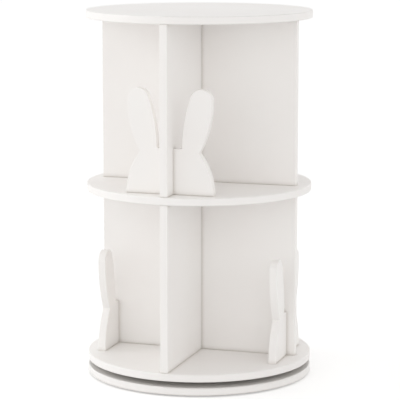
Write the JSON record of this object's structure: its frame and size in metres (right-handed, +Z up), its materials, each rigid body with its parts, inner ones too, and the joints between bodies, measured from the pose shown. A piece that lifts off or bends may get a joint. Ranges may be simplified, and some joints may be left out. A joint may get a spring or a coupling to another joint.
{
  "type": "rotating bookshelf",
  "caption": "White round floor bookshelf with crossed uprights between stacked discs and rabbit shaped bookends, turning freely on a ring bearing over a fixed base disc.",
  "frame": {"origin": "on the floor, where the turning axis meets it", "axes": "+Z up along the turning axis, front towards -Y, the wide panels along X and the deep panels along Y"},
  "size_m": [0.4399, 0.44, 0.716],
  "materials": {
    "white_board": "satin white paint over fibreboard",
    "dowel_wood": "bare beech",
    "bearing_aluminium": "turned, matt",
    "ball_steel": "polished",
    "cage_plastic": "moulded",
    "fastener_steel": "zinc plated",
    "cap_plastic": "moulded, satin",
    "foot_rubber": "matt"
  },
  "bodies": {
    "base": {"base_disc": "white_board", "foot_pads": "foot_rubber", "base_screws": "fastener_steel", "bearing_outer_ring": "bearing_aluminium"},
    "ball_race": {"ball_cage": "cage_plastic", "bearing_balls": "ball_steel"},
    "carousel": {"bearing_inner_ring": "bearing_aluminium", "inner_ring_screws": "fastener_steel", "bottom_disc": "white_board", "mid_disc": "white_board", "top_disc": "white_board", "lower_wide_panel": "white_board", "lower_deep_panel": "white_board", "lower_panel_screws": "fastener_steel", "lower_bottom_dowels": "dowel_wood", "lower_top_dowels": "dowel_wood", "lower_cam_bolts": "fastener_steel", "lower_cams": "fastener_steel", "lower_cam_caps": "cap_plastic", "upper_wide_panel": "white_board", "upper_deep_panel": "white_board", "upper_panel_screws": "fastener_steel", "upper_bottom_dowels": "dowel_wood", "upper_top_dowels": "dowel_wood", "upper_cam_bolts": "fastener_steel", "upper_cams": "fastener_steel", "upper_cam_caps": "cap_plastic", "lower_left_bunny": "white_board", "lower_right_bunny": "white_board", "upper_front_bunny": "white_board", "upper_rear_bunny": "white_board"}
  },
  "joints": [
    {"name": "carousel_spin", "type": "hinge", "parent": "base", "child": "carousel", "pos_m": [0, 0, 0.0235], "axis": [0, 0, 1], "continuous": true},
    {"name": "cage_spin", "type": "hinge", "parent": "base", "child": "ball_race", "pos_m": [0, 0, 0.0235], "axis": [0, 0, 1], "continuous": true}
  ],
  "couplings": [
    {"joint": "cage_spin", "follows": "carousel_spin", "ratio": 0.4911}
  ]
}
